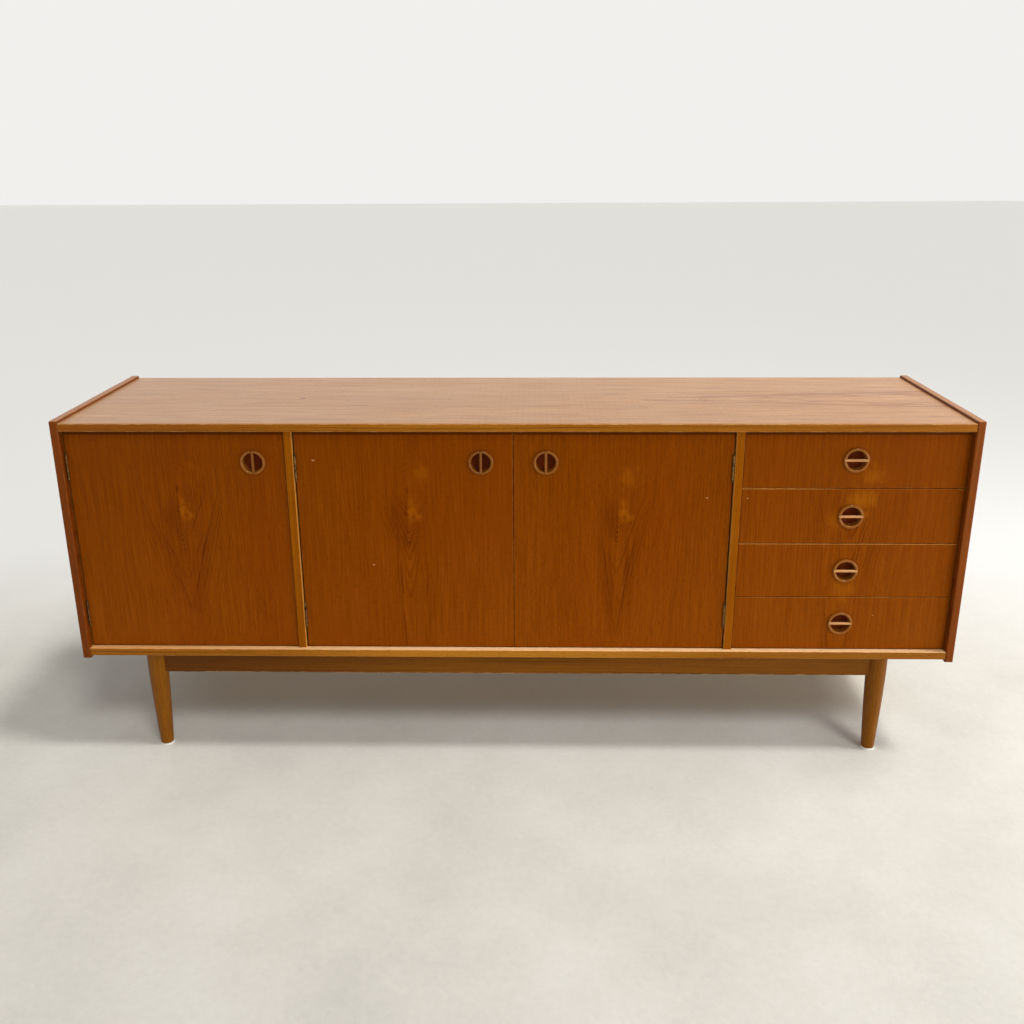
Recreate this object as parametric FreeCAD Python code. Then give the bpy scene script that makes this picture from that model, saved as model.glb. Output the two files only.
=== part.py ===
import FreeCAD, Part
import math
import os

# Teak sideboard on a four-legged base: three hinged doors and a bank of four drawers.
# Millimetres. +Z is up, +X runs along the width, and the front faces -Y.
# The origin is on the floor, under the centre of the cabinet.

# ---- driving dimensions ----
WIDTH = 2000.0
DEPTH = 465.0
HEIGHT = 810.0
BOARD = 18.0              # thickness of panels, boards and dividers
SIDE_BOTTOM = 242.0       # lower end of the side panels above the floor
TOP_SINK = 6.0            # the side panels rise this far above the top board
BOTTOM_RISE = 7.0         # the bottom board sits this far above the panels' lower ends
COMPARTMENT = 484.5       # width of the left and right compartments
LIPPING = 10.0            # depth of the solid front lippings
LIPPING_SET_BACK = 0.5    # behind the side panels' front edges
SIDE_ROUND = 3.0
LIPPING_ROUND = 2.0

DOOR_RECESS = 16.0        # door and drawer faces behind the cabinet's front
DIVIDER_RECESS = 10.5
FRONT_THICK = 18.0        # doors and drawer fronts
FRONT_ROUND = 0.8
TOP_GAP = 2.5
BOTTOM_GAP = 2.0
HINGE_GAP = 3.0           # door edge to cabinet on the hinge side
FREE_GAP = 1.5            # door edge to cabinet on the free side
MEETING_GAP = 1.4         # between the two middle doors
DRAWER_COUNT = 4
DRAWER_GAP = 1.5

BACK_THICK = 6.0
RABBET = 8.0
RABBET_SLACK = 0.5

SHELF_THICK = 15.0
SHELF_BOTTOM = 513.0
SHELF_SIDE_GAP = 1.0
SHELF_BACK_GAP = 1.0
SHELF_FRONT_Y = -190.0
SHELF_ROUND = 1.0
PIN_R = 2.5
PIN_DEEP = 8.0
PIN_PROUD = 11.0
PIN_YS = (-150.0, 180.0)

# Round inset pull: a turned ring with a cup behind it, and a bar lapped across the ring.
PULL_R = 27.5
PULL_LIP = 5.0            # the ring stands this far proud of the face
PULL_BODY_R = 24.0
PULL_DEEP = 12.5
PULL_BORE_R = 21.5
PULL_FLOOR = 10.5
PULL_HOLE_SLACK = 0.1
LIP_INNER_TURN = 2.4      # radii turned on the lip and in the bottom of the cup
LIP_OUTER_TURN = 2.5
BOWL_TURN = 4.0
BAR_WIDTH = 5.5
BAR_DEEP = 5.0
BAR_HALF = 26.3
BAR_ROUND = 1.5
PULL_INSET = 70.0         # from the door's free edge and from its top

# Butt hinge: axis just in front of the door's face.
HINGE_LENGTH = 57.0
HINGE_INSET = 82.0        # hinge centre from the door's top and bottom edges
AXIS_FROM_WALL = 3.4
AXIS_FROM_FACE = 2.6
KNUCKLE_R = 2.3
LEAF_THICK = 1.2
LEAF_DEEP = 18.0
WALL_WEB_YS = (1.0, 2.2)  # the wall leaf's web, beside the knuckles
DOOR_WEB_Y = 1.6          # front of the door leaf's web
HINGE_PIN_R = 1.25
PIN_HEAD_R = 2.0
PIN_HEAD_SINK = 0.1       # how far each ball head is let into the knuckle's end
PIN_CLEARANCE = 0.05
KNUCKLE_GAP = 0.4

CATCH_SIZE = (45.0, 13.0, 11.0)
CATCH_FROM_EDGE = 45.0
CATCH_GAP = 0.5           # behind the closed door
CATCH_ROUND = 1.0

# Drawer boxes run on strips that sit in grooves in their sides.
DRAWER_WALL = 12.0
DRAWER_HEIGHT = 100.0
DRAWER_LENGTH = 395.0
DRAWER_LIFT = 12.0        # box bottom above the lower edge of its front
DRAWER_SIDE_GAP = 2.0
DRAWER_BOTTOM = 5.0
BOTTOM_GROOVE = 5.0
BOTTOM_UP = 8.0
RUNNER_GROOVE = 7.5
RUNNER_PROUD = 8.5
RUNNER_HEIGHT = 12.0
RUNNER_SLACK = 0.4
RUNNER_END_GAP = 3.0      # the groove runs on this far in front of the runner
RUNNER_YS = (-185.0, 215.0)

LEG_X = 840.0
LEG_INSET = 31.0          # leg axis behind the cabinet's front, and before its back
LEG_R = 22.5
LEG_BELLY_R = 19.4
FOOT_R = 14.7
FOOT_ROUND = 1.5
RAIL_HEIGHT = 52.0
RAIL_THICK = 20.0
TENON = (14.0, 8.0, 36.0)  # length, thickness, height
GLIDE_R = 16.0
GLIDE_HEIGHT = 4.5
GLIDE_ROUND = 1.2
GLIDE_NAIL_R = 2.0
GLIDE_NAIL = 15.0

BASE_SCREW = (4.2, 3.0, 2.1, 45.0)   # head radius, head height, shank radius, length
BACK_SCREW = (3.2, 2.0, 1.6, 20.0)
BASE_SCREW_XS = (-640.0, -220.0, 220.0, 640.0)
BACK_SCREW_ROWS = (-0.85, -0.68, -0.25, 0.0, 0.25, 0.68, 0.85)   # of half the inner width
BACK_SCREW_COLUMNS = (0.2, 0.8)                                  # of the inner height
SCREW_SLACK = 0.05

# ---- places worked out from them ----
FRONT_Y = -DEPTH / 2
BACK_Y = DEPTH / 2
BACK_PANEL_Y = BACK_Y - BACK_THICK
INNER_X = WIDTH / 2 - BOARD
TOP_Z = HEIGHT - TOP_SINK
CEILING_Z = TOP_Z - BOARD
BASE_Z = SIDE_BOTTOM + BOTTOM_RISE
FLOOR_Z = BASE_Z + BOARD
DIVIDER_X = INNER_X - COMPARTMENT - BOARD / 2
MIDDLE_X = DIVIDER_X - BOARD / 2
BAY_X = DIVIDER_X + BOARD / 2
FACE_Y = FRONT_Y + DOOR_RECESS
FACE_BACK_Y = FACE_Y + FRONT_THICK
DIVIDER_Y = FRONT_Y + DIVIDER_RECESS
DOOR_BOTTOM_Z = FLOOR_Z + BOTTOM_GAP
DOOR_TOP_Z = CEILING_Z - TOP_GAP
AXIS_Y = FACE_Y - AXIS_FROM_FACE
HINGE_ZS = (DOOR_BOTTOM_Z + HINGE_INSET, DOOR_TOP_Z - HINGE_INSET)
PULL_Z = DOOR_TOP_Z - PULL_INSET
LEG_YS = (FRONT_Y + LEG_INSET, BACK_Y - LEG_INSET)
RAIL_Z = BASE_Z - RAIL_HEIGHT
EXTRA = 1.0               # how far a cutting tool runs past an open face

UP = FreeCAD.Vector(0, 0, 1)
X_AXIS = FreeCAD.Vector(1, 0, 0)
Y_AXIS = FreeCAD.Vector(0, 1, 0)
ORIGIN = FreeCAD.Vector(0, 0, 0)

# Each door: the wall it hangs on, that wall's side of the door, and its panel's X range.
DOORS = {
    "door_left": (-INNER_X, 1, -INNER_X + HINGE_GAP, -BAY_X - FREE_GAP),
    "door_middle_left": (-MIDDLE_X, 1, -MIDDLE_X + HINGE_GAP, -MEETING_GAP / 2),
    "door_middle_right": (MIDDLE_X, -1, MEETING_GAP / 2, MIDDLE_X - HINGE_GAP),
}


# ---- helpers ----
def box(x_range, y_range, z_range):
    """A box between three (low, high) ranges."""
    sizes = [high - low for low, high in (x_range, y_range, z_range)]
    corner = FreeCAD.Vector(x_range[0], y_range[0], z_range[0])
    return Part.makeBox(*sizes, corner)


def rod(radius, start, direction, length):
    return Part.makeCylinder(radius, length, FreeCAD.Vector(*start), direction)


def edges_where(shape, test):
    """The edges whose two ends both pass the test."""
    return [edge for edge in shape.Edges if all(test(v.Point) for v in edge.Vertexes)]


def near(value, target):
    return abs(value - target) < 0.001


def round_edges(shape, radius, test):
    return shape.makeFillet(radius, edges_where(shape, test))


def cut_all(shape, tools):
    for tool in tools:
        shape = shape.cut(tool)
    return shape


def revolved(points_and_arcs, axis):
    """A full turn of a closed outline. Each item is a pair of points, or three for an arc."""
    edges = []
    for item in points_and_arcs:
        points = [FreeCAD.Vector(*p) for p in item]
        if len(points) == 3:
            edges.append(Part.Arc(*points).toShape())
        else:
            edges.append(Part.LineSegment(*points).toShape())
    face = Part.Face(Part.Wire(edges))
    return face.revolve(ORIGIN, axis, 360)


def placed(shape, x, y, z):
    moved = shape.copy()
    moved.translate(FreeCAD.Vector(x, y, z))
    return moved


def mirrored_x(shape):
    return shape.mirror(ORIGIN, X_AXIS)


def countersunk_screw(size, slack=0.0):
    """A screw along -Z with its flush head at the origin."""
    head_r, head_height, shank_r, length = size
    head = Part.makeCone(shank_r + slack, head_r + slack, head_height, FreeCAD.Vector(0, 0, -head_height))
    shank = rod(shank_r + slack, (0, 0, -length), UP, length - head_height)
    return head.fuse(shank).removeSplitter()


# ---- fasteners ----
def base_screw_places():
    return [(x, y, FLOOR_Z) for x in BASE_SCREW_XS for y in LEG_YS]


def base_screws(slack=0.0):
    screw = countersunk_screw(BASE_SCREW, slack)
    return [placed(screw, *place) for place in base_screw_places()]


def back_screw_places():
    edge = RABBET / 2
    columns = (-DIVIDER_X, DIVIDER_X)
    row_xs = [fraction * INNER_X for fraction in BACK_SCREW_ROWS]
    rows = [(x, z) for x in row_xs for z in (FLOOR_Z - edge, CEILING_Z + edge)]
    heights = [FLOOR_Z + (CEILING_Z - FLOOR_Z) * fraction for fraction in BACK_SCREW_COLUMNS]
    sides = [(sign * (INNER_X + edge), z) for sign in (-1, 1) for z in heights]
    middles = [(x, z) for x in columns for z in heights]
    return rows + sides + middles


def back_screws(slack=0.0):
    screw = countersunk_screw(BACK_SCREW, slack)
    screw.rotate(ORIGIN, X_AXIS, -90)
    return [placed(screw, x, BACK_Y, z) for x, z in back_screw_places()]


def shelf_pin_places():
    """Wall face, and the direction from the wall into the compartment."""
    return [(-INNER_X, 1), (-BAY_X, -1), (-MIDDLE_X, 1), (MIDDLE_X, -1)]


def shelf_pins(slack=0.0):
    pins = []
    for wall, side in shelf_pin_places():
        for y in PIN_YS:
            start = (wall - side * PIN_DEEP, y, SHELF_BOTTOM - PIN_R)
            pins.append(rod(PIN_R + slack, start, X_AXIS * side, PIN_DEEP + PIN_PROUD))
    return pins


# ---- cabinet ----
def back_panel_space(slack):
    x = INNER_X + RABBET - slack
    z_low = FLOOR_Z - RABBET + slack
    z_high = CEILING_Z + RABBET - slack
    return x, (z_low, z_high)


def rabbet_tool():
    x, z_range = back_panel_space(0.0)
    return box((-x, x), (BACK_PANEL_Y, BACK_Y + EXTRA), z_range)


def back_panel():
    x, z_range = back_panel_space(RABBET_SLACK)
    panel = box((-x, x), (BACK_PANEL_Y, BACK_Y), z_range)
    return cut_all(panel, back_screws(SCREW_SLACK))


def side_panel(side):
    panel = box((INNER_X, WIDTH / 2), (FRONT_Y, BACK_Y), (SIDE_BOTTOM, HEIGHT))
    panel = round_edges(panel, SIDE_ROUND, lambda p: near(p.y, FRONT_Y) or near(p.z, HEIGHT))
    if side < 0:
        panel = mirrored_x(panel)
    panel = panel.cut(rabbet_tool())
    return cut_all(panel, back_screws(SCREW_SLACK) + shelf_pins(SCREW_SLACK))


def lipping(z_low):
    """Solid front edge of the top or bottom board."""
    front = FRONT_Y + LIPPING_SET_BACK
    strip = box((-INNER_X, INNER_X), (front, FRONT_Y + LIPPING), (z_low, z_low + BOARD))
    return round_edges(strip, LIPPING_ROUND, lambda p: near(p.y, front))


def long_board(z_low):
    board = box((-INNER_X, INNER_X), (FRONT_Y + LIPPING, BACK_Y), (z_low, z_low + BOARD))
    board = board.cut(rabbet_tool())
    return cut_all(board, back_screws(SCREW_SLACK) + base_screws(SCREW_SLACK))


def divider(side):
    x = side * DIVIDER_X
    x_range = (x - BOARD / 2, x + BOARD / 2)
    board = box(x_range, (DIVIDER_Y + LIPPING, BACK_PANEL_Y), (FLOOR_Z, CEILING_Z))
    return cut_all(board, back_screws(SCREW_SLACK) + shelf_pins(SCREW_SLACK))


def divider_lippings():
    strips = []
    for side in (-1, 1):
        x = side * DIVIDER_X
        x_range = (x - BOARD / 2, x + BOARD / 2)
        strip = box(x_range, (DIVIDER_Y, DIVIDER_Y + LIPPING), (FLOOR_Z, CEILING_Z))
        strips.append(round_edges(strip, LIPPING_ROUND, lambda p: near(p.y, DIVIDER_Y)))
    return strips


def shelf(x_low, x_high):
    x_range = (x_low + SHELF_SIDE_GAP, x_high - SHELF_SIDE_GAP)
    y_range = (SHELF_FRONT_Y, BACK_PANEL_Y - SHELF_BACK_GAP)
    board = box(x_range, y_range, (SHELF_BOTTOM, SHELF_BOTTOM + SHELF_THICK))
    return round_edges(board, SHELF_ROUND, lambda p: near(p.y, SHELF_FRONT_Y))


# ---- base ----
def leg_blank():
    """Round leg on the Z axis: straight beside the rails, then a slightly bellied taper."""
    bottom = GLIDE_HEIGHT
    waist = (bottom + FOOT_ROUND + RAIL_Z) / 2
    arc_end = bottom + FOOT_ROUND
    bevel = FOOT_ROUND * (1 - math.sqrt(0.5))
    outline = [
        ((0, 0, bottom), (FOOT_R - FOOT_ROUND, 0, bottom)),
        ((FOOT_R - FOOT_ROUND, 0, bottom), (FOOT_R - bevel, 0, bottom + bevel), (FOOT_R, 0, arc_end)),
        ((FOOT_R, 0, arc_end), (LEG_BELLY_R, 0, waist), (LEG_R, 0, RAIL_Z)),
        ((LEG_R, 0, RAIL_Z), (LEG_R, 0, BASE_Z)),
        ((LEG_R, 0, BASE_Z), (0, 0, BASE_Z)),
        ((0, 0, BASE_Z), (0, 0, bottom)),
    ]
    return revolved(outline, UP)


def tenon_spans(low, high):
    """Length ranges of the two tenons of a rail that runs between leg centres."""
    reach = LEG_R - TENON[0]
    return (low + reach, low + LEG_R), (high - LEG_R, high - reach)


def long_tenons(y):
    z_middle = RAIL_Z + RAIL_HEIGHT / 2
    z_range = (z_middle - TENON[2] / 2, z_middle + TENON[2] / 2)
    y_range = (y - TENON[1] / 2, y + TENON[1] / 2)
    return [box(span, y_range, z_range) for span in tenon_spans(-LEG_X, LEG_X)]


def cross_tenons(x):
    z_middle = RAIL_Z + RAIL_HEIGHT / 2
    z_range = (z_middle - TENON[2] / 2, z_middle + TENON[2] / 2)
    x_range = (x - TENON[1] / 2, x + TENON[1] / 2)
    return [box(x_range, span, z_range) for span in tenon_spans(*LEG_YS)]


def leg(x, y):
    mortises = long_tenons(y) + cross_tenons(x)
    nail_hole = rod(GLIDE_NAIL_R, (x, y, 0), UP, GLIDE_HEIGHT + GLIDE_NAIL)
    return cut_all(placed(leg_blank(), x, y, 0), mortises + [nail_hole])


def rail(body, tenons, ends):
    """A rail coped round the legs at its ends, with its tenons."""
    for x, y in ends:
        body = body.cut(rod(LEG_R, (x, y, RAIL_Z - EXTRA), UP, RAIL_HEIGHT + 2 * EXTRA))
    for tenon in tenons:
        body = body.fuse(tenon)
    return cut_all(body.removeSplitter(), base_screws(SCREW_SLACK))


def long_rail(y):
    half = RAIL_THICK / 2
    body = box((-LEG_X, LEG_X), (y - half, y + half), (RAIL_Z, BASE_Z))
    return rail(body, long_tenons(y), [(-LEG_X, y), (LEG_X, y)])


def cross_rail(x):
    half = RAIL_THICK / 2
    body = box((x - half, x + half), LEG_YS, (RAIL_Z, BASE_Z))
    return rail(body, cross_tenons(x), [(x, y) for y in LEG_YS])


def glides():
    disc = rod(GLIDE_R, (0, 0, 0), UP, GLIDE_HEIGHT)
    disc = round_edges(disc, GLIDE_ROUND, lambda p: near(p.z, 0))
    glide = disc.fuse(rod(GLIDE_NAIL_R, (0, 0, GLIDE_HEIGHT), UP, GLIDE_NAIL))
    return [placed(glide, x, y, 0) for x in (-LEG_X, LEG_X) for y in LEG_YS]


# ---- pulls ----
def bar_blank():
    """The bar along Z, in front of a face in the XZ plane."""
    half = BAR_WIDTH / 2
    bar = box((-half, half), (-PULL_LIP, BAR_DEEP - PULL_LIP), (-BAR_HALF, BAR_HALF))
    return round_edges(bar, BAR_ROUND, lambda p: near(p.y, -PULL_LIP))


def ring_blank():
    """The turned cup and lip about the Y axis, with the slot for the bar."""
    corner = 1 - math.sqrt(0.5)
    floor_edge = (PULL_BORE_R - BOWL_TURN, PULL_FLOOR, 0)
    bowl = (PULL_BORE_R - BOWL_TURN * corner, PULL_FLOOR - BOWL_TURN * corner, 0)
    wall_low = (PULL_BORE_R, PULL_FLOOR - BOWL_TURN, 0)
    wall_high = (PULL_BORE_R, -PULL_LIP + LIP_INNER_TURN, 0)
    inner = (PULL_BORE_R + LIP_INNER_TURN * corner, -PULL_LIP + LIP_INNER_TURN * corner, 0)
    crest_in = (PULL_BORE_R + LIP_INNER_TURN, -PULL_LIP, 0)
    crest_out = (PULL_R - LIP_OUTER_TURN, -PULL_LIP, 0)
    outer = (PULL_R - LIP_OUTER_TURN * corner, -PULL_LIP + LIP_OUTER_TURN * corner, 0)
    lip_side = (PULL_R, -PULL_LIP + LIP_OUTER_TURN, 0)
    lip_back = (PULL_R, 0, 0)
    body_front = (PULL_BODY_R, 0, 0)
    body_back = (PULL_BODY_R, PULL_DEEP, 0)
    outline = [
        ((0, PULL_FLOOR, 0), floor_edge),
        (floor_edge, bowl, wall_low),
        (wall_low, wall_high),
        (wall_high, inner, crest_in),
        (crest_in, crest_out),
        (crest_out, outer, lip_side),
        (lip_side, lip_back),
        (lip_back, body_front),
        (body_front, body_back),
        (body_back, (0, PULL_DEEP, 0)),
        ((0, PULL_DEEP, 0), (0, PULL_FLOOR, 0)),
    ]
    ring = revolved(outline, Y_AXIS)
    half = BAR_WIDTH / 2
    slot = box((-half, half), (-PULL_LIP - EXTRA, BAR_DEEP - PULL_LIP), (-PULL_R - EXTRA, PULL_R + EXTRA))
    return ring.cut(slot)


def pull(name, x, z, upright):
    """Ring and bar nodes of one pull, with the bar upright or level."""
    nodes = {}
    for suffix, blank in (("_pull_ring", ring_blank()), ("_pull_bar", bar_blank())):
        if not upright:
            blank.rotate(ORIGIN, Y_AXIS, 90)
        nodes[name + suffix] = placed(blank, x, FACE_Y, z)
    return nodes


def pull_hole(x, z):
    start = (x, FACE_Y - EXTRA, z)
    return rod(PULL_BODY_R + PULL_HOLE_SLACK, start, Y_AXIS, PULL_DEEP + EXTRA)


def front_panel(x_range, z_range, pull_x, pull_z):
    """A door or drawer front with slightly eased face edges and its blind hole for a pull."""
    panel = box(x_range, (FACE_Y, FACE_BACK_Y), z_range)
    panel = round_edges(panel, FRONT_ROUND, lambda p: near(p.y, FACE_Y))
    return panel.cut(pull_hole(pull_x, pull_z))


# ---- hinges ----
# Local frame of a hinge: the axis is Z through the origin, the wall face lies at
# X = -AXIS_FROM_WALL, and the door's face at Y = AXIS_FROM_FACE.
SEGMENT = HINGE_LENGTH / 3
WALL_X = -AXIS_FROM_WALL
LEAF_YS = (AXIS_FROM_FACE, AXIS_FROM_FACE + LEAF_DEEP)
HALF_HINGE = HINGE_LENGTH / 2


def knuckle(z_low, z_high):
    length = z_high - z_low
    outside = rod(KNUCKLE_R, (0, 0, z_low), UP, length)
    return outside.cut(rod(HINGE_PIN_R + PIN_CLEARANCE, (0, 0, z_low - EXTRA), UP, length + 2 * EXTRA))


def bore():
    length = HINGE_LENGTH + 2 * EXTRA
    return rod(HINGE_PIN_R + PIN_CLEARANCE, (0, 0, -length / 2), UP, length)


def wall_leaf():
    """Fixed leaf with the two outer knuckles."""
    leaf = box((WALL_X, WALL_X + LEAF_THICK), LEAF_YS, (-HALF_HINGE, HALF_HINGE))
    for z_low in (-HALF_HINGE, HALF_HINGE - SEGMENT):
        z_range = (z_low, z_low + SEGMENT)
        leaf = leaf.fuse(box((WALL_X, WALL_X + LEAF_THICK), (WALL_WEB_YS[0], AXIS_FROM_FACE), z_range))
        leaf = leaf.fuse(box((WALL_X, 0.0), WALL_WEB_YS, z_range))
        leaf = leaf.fuse(knuckle(*z_range))
    return leaf.cut(bore()).removeSplitter()


def door_leaf():
    """Moving leaf on the door's edge, with the middle knuckle."""
    outer_x = HINGE_GAP - AXIS_FROM_WALL
    x_range = (outer_x - LEAF_THICK, outer_x)
    z_low = -HALF_HINGE + SEGMENT + KNUCKLE_GAP
    z_high = HALF_HINGE - SEGMENT - KNUCKLE_GAP
    leaf = box(x_range, LEAF_YS, (-HALF_HINGE, HALF_HINGE))
    leaf = leaf.fuse(box(x_range, (DOOR_WEB_Y, AXIS_FROM_FACE), (z_low, z_high)))
    leaf = leaf.fuse(knuckle(z_low, z_high))
    return leaf.cut(bore()).removeSplitter()


def hinge_pin():
    """The pin with a round head standing on the knuckle at each end."""
    pin = rod(HINGE_PIN_R, (0, 0, -HALF_HINGE), UP, HINGE_LENGTH)
    head_z = HALF_HINGE + PIN_HEAD_R - PIN_HEAD_SINK
    for z in (-head_z, head_z):
        pin = pin.fuse(Part.makeSphere(PIN_HEAD_R, FreeCAD.Vector(0, 0, z)))
    return pin.removeSplitter()


def on_hinges(blank, doors):
    """Copies of a hinge piece at both hinges of the named doors."""
    copies = []
    for name in doors:
        wall, side = DOORS[name][:2]
        piece = blank if side > 0 else mirrored_x(blank)
        for z in HINGE_ZS:
            copies.append(placed(piece, wall + side * AXIS_FROM_WALL, AXIS_Y, z))
    return copies


# ---- doors ----
def door(name):
    side, x_low, x_high = DOORS[name][1:]
    free_edge = x_high if side > 0 else x_low
    pull_x = free_edge - side * PULL_INSET
    nodes = {name + "_panel": front_panel((x_low, x_high), (DOOR_BOTTOM_Z, DOOR_TOP_Z), pull_x, PULL_Z)}
    nodes[name + "_hinge_leaves"] = on_hinges(door_leaf(), [name])
    nodes.update(pull(name, pull_x, PULL_Z, True))
    return nodes


def door_catches():
    """Magnet catches under the ceiling, behind each door's free top corner."""
    blocks = []
    length, deep, high = CATCH_SIZE
    y_low = FACE_BACK_Y + CATCH_GAP
    for side, x_low, x_high in (values[1:] for values in DOORS.values()):
        free_edge = x_high if side > 0 else x_low
        x = free_edge - side * CATCH_FROM_EDGE
        block = box((x - length / 2, x + length / 2), (y_low, y_low + deep), (CEILING_Z - high, CEILING_Z))
        blocks.append(round_edges(block, CATCH_ROUND, lambda p: near(p.z, CEILING_Z - high)))
    return blocks


# ---- drawers ----
BAY_RANGE = (BAY_X, INNER_X)
BAY_MIDDLE_X = (BAY_X + INNER_X) / 2
FRONT_HEIGHT = (DOOR_TOP_Z - DOOR_BOTTOM_Z - (DRAWER_COUNT - 1) * DRAWER_GAP) / DRAWER_COUNT


def drawer_bottom_z(number):
    """Lower edge of a drawer front; drawer 1 is the top one."""
    return DOOR_TOP_Z - number * FRONT_HEIGHT - (number - 1) * DRAWER_GAP


def runner_z(number):
    return drawer_bottom_z(number) + DRAWER_LIFT + DRAWER_HEIGHT / 2


def drawer(number):
    name = "drawer_%d" % number
    low = drawer_bottom_z(number)
    x_range = (BAY_X + FREE_GAP, INNER_X - FREE_GAP)
    z_range = (low, low + FRONT_HEIGHT)
    middle_z = low + FRONT_HEIGHT / 2
    outer = (BAY_X + DRAWER_SIDE_GAP, INNER_X - DRAWER_SIDE_GAP)
    inner = (outer[0] + DRAWER_WALL, outer[1] - DRAWER_WALL)
    y_range = (FACE_BACK_Y, FACE_BACK_Y + DRAWER_LENGTH)
    box_low = low + DRAWER_LIFT
    box_high = box_low + DRAWER_HEIGHT
    floor_low = box_low + BOTTOM_UP
    floor_range = (floor_low, floor_low + DRAWER_BOTTOM)

    floor_x = (inner[0] - BOTTOM_GROOVE, inner[1] + BOTTOM_GROOVE)
    bottom = box(floor_x, y_range, floor_range)
    half_groove = RUNNER_HEIGHT / 2 + RUNNER_SLACK
    groove_z = (runner_z(number) - half_groove, runner_z(number) + half_groove)
    groove_y = (RUNNER_YS[0] - RUNNER_END_GAP, y_range[1] + EXTRA)
    pieces = []
    for wall, groove in (
        ((outer[0], inner[0]), (outer[0] - EXTRA, outer[0] + RUNNER_GROOVE)),
        ((inner[1], outer[1]), (outer[1] - RUNNER_GROOVE, outer[1] + EXTRA)),
    ):
        wall_board = box(wall, y_range, (box_low, box_high))
        pieces.append(cut_all(wall_board, [bottom, box(groove, groove_y, groove_z)]))
    back_y = (y_range[1] - DRAWER_WALL, y_range[1])
    pieces.append(box(inner, back_y, (floor_range[1], box_high)))

    nodes = {
        name + "_front": front_panel(x_range, z_range, BAY_MIDDLE_X, middle_z),
        name + "_box": pieces,
        name + "_bottom": bottom,
    }
    nodes.update(pull(name, BAY_MIDDLE_X, middle_z, False))
    return nodes


def drawer_runners():
    strips = []
    for number in range(1, DRAWER_COUNT + 1):
        z = runner_z(number)
        z_range = (z - RUNNER_HEIGHT / 2, z + RUNNER_HEIGHT / 2)
        strips.append(box((BAY_X, BAY_X + RUNNER_PROUD), RUNNER_YS, z_range))
        strips.append(box((INNER_X - RUNNER_PROUD, INNER_X), RUNNER_YS, z_range))
    return strips


# ---- the whole piece of furniture ----
def all_nodes():
    nodes = {
        "side_panel_left": side_panel(-1),
        "side_panel_right": side_panel(1),
        "top_board": long_board(CEILING_Z),
        "bottom_board": long_board(BASE_Z),
        "top_lipping": lipping(CEILING_Z),
        "bottom_lipping": lipping(BASE_Z),
        "divider_left": divider(-1),
        "divider_right": divider(1),
        "divider_lippings": divider_lippings(),
        "back_panel": back_panel(),
        "back_panel_screws": back_screws(),
        "shelf_left": shelf(-INNER_X, -BAY_X),
        "shelf_middle": shelf(-MIDDLE_X, MIDDLE_X),
        "shelf_pins": shelf_pins(),
        "drawer_runners": drawer_runners(),
        "door_catches": door_catches(),
        "hinge_wall_leaves": on_hinges(wall_leaf(), DOORS),
        "hinge_pins": on_hinges(hinge_pin(), DOORS),
        "rail_front": long_rail(LEG_YS[0]),
        "rail_rear": long_rail(LEG_YS[1]),
        "rail_left": cross_rail(-LEG_X),
        "rail_right": cross_rail(LEG_X),
        "floor_glides": glides(),
        "base_screws": base_screws(),
    }
    for side_name, x in (("left", -LEG_X), ("right", LEG_X)):
        for end_name, y in (("front", LEG_YS[0]), ("rear", LEG_YS[1])):
            nodes["leg_%s_%s" % (end_name, side_name)] = leg(x, y)
    for name in DOORS:
        nodes.update(door(name))
    for number in range(1, DRAWER_COUNT + 1):
        nodes.update(drawer(number))
    return nodes


os.makedirs("parts", exist_ok=True)
for node, shape in all_nodes().items():
    solids = shape if isinstance(shape, list) else [shape]
    whole = Part.makeCompound(solids) if len(solids) > 1 else solids[0]
    whole.exportStep("parts/" + node + ".step")
    bounds = whole.BoundBox
    print(
        "%-32s %2d solids %8.1f cm3  X %7.1f..%7.1f  Y %7.1f..%7.1f  Z %6.1f..%6.1f  valid %s"
        % (
            node, len(whole.Solids), whole.Volume / 1000,
            bounds.XMin, bounds.XMax, bounds.YMin, bounds.YMax, bounds.ZMin, bounds.ZMax,
            whole.isValid(),
        )
    )
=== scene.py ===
"""Looks, light and camera for the teak sideboard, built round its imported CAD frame. Metres."""

import math

import bmesh
import bpy
from mathutils import Matrix, Vector


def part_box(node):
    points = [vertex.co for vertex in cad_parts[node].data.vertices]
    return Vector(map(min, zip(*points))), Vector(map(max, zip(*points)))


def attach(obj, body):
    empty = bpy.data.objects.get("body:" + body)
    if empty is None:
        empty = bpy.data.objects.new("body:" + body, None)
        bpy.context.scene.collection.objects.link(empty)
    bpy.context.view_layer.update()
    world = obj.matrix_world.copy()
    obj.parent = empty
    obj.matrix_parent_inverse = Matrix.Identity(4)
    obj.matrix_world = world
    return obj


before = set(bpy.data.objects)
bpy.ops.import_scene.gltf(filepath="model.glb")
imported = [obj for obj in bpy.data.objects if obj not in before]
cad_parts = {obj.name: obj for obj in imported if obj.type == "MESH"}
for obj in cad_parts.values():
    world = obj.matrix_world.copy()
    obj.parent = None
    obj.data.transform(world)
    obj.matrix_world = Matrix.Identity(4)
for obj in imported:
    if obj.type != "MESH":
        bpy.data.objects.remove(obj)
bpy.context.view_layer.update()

DOORS = ("door_left", "door_middle_left", "door_middle_right")
DRAWERS = ("drawer_1", "drawer_2", "drawer_3", "drawer_4")

# ---- camera ----
CAMERA_PLACE = (0.0413, -2.2517, 1.3432)
CAMERA_TILT = 72.697       # degrees from straight down
CAMERA_TURN = 1.243
CAMERA_ROLL = -0.310
CAMERA_LENS = 34.48        # on a 36 mm sensor
CAMERA_SHIFT = -0.0464
CAMERA_CLIP = (0.05, 100.0)

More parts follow.
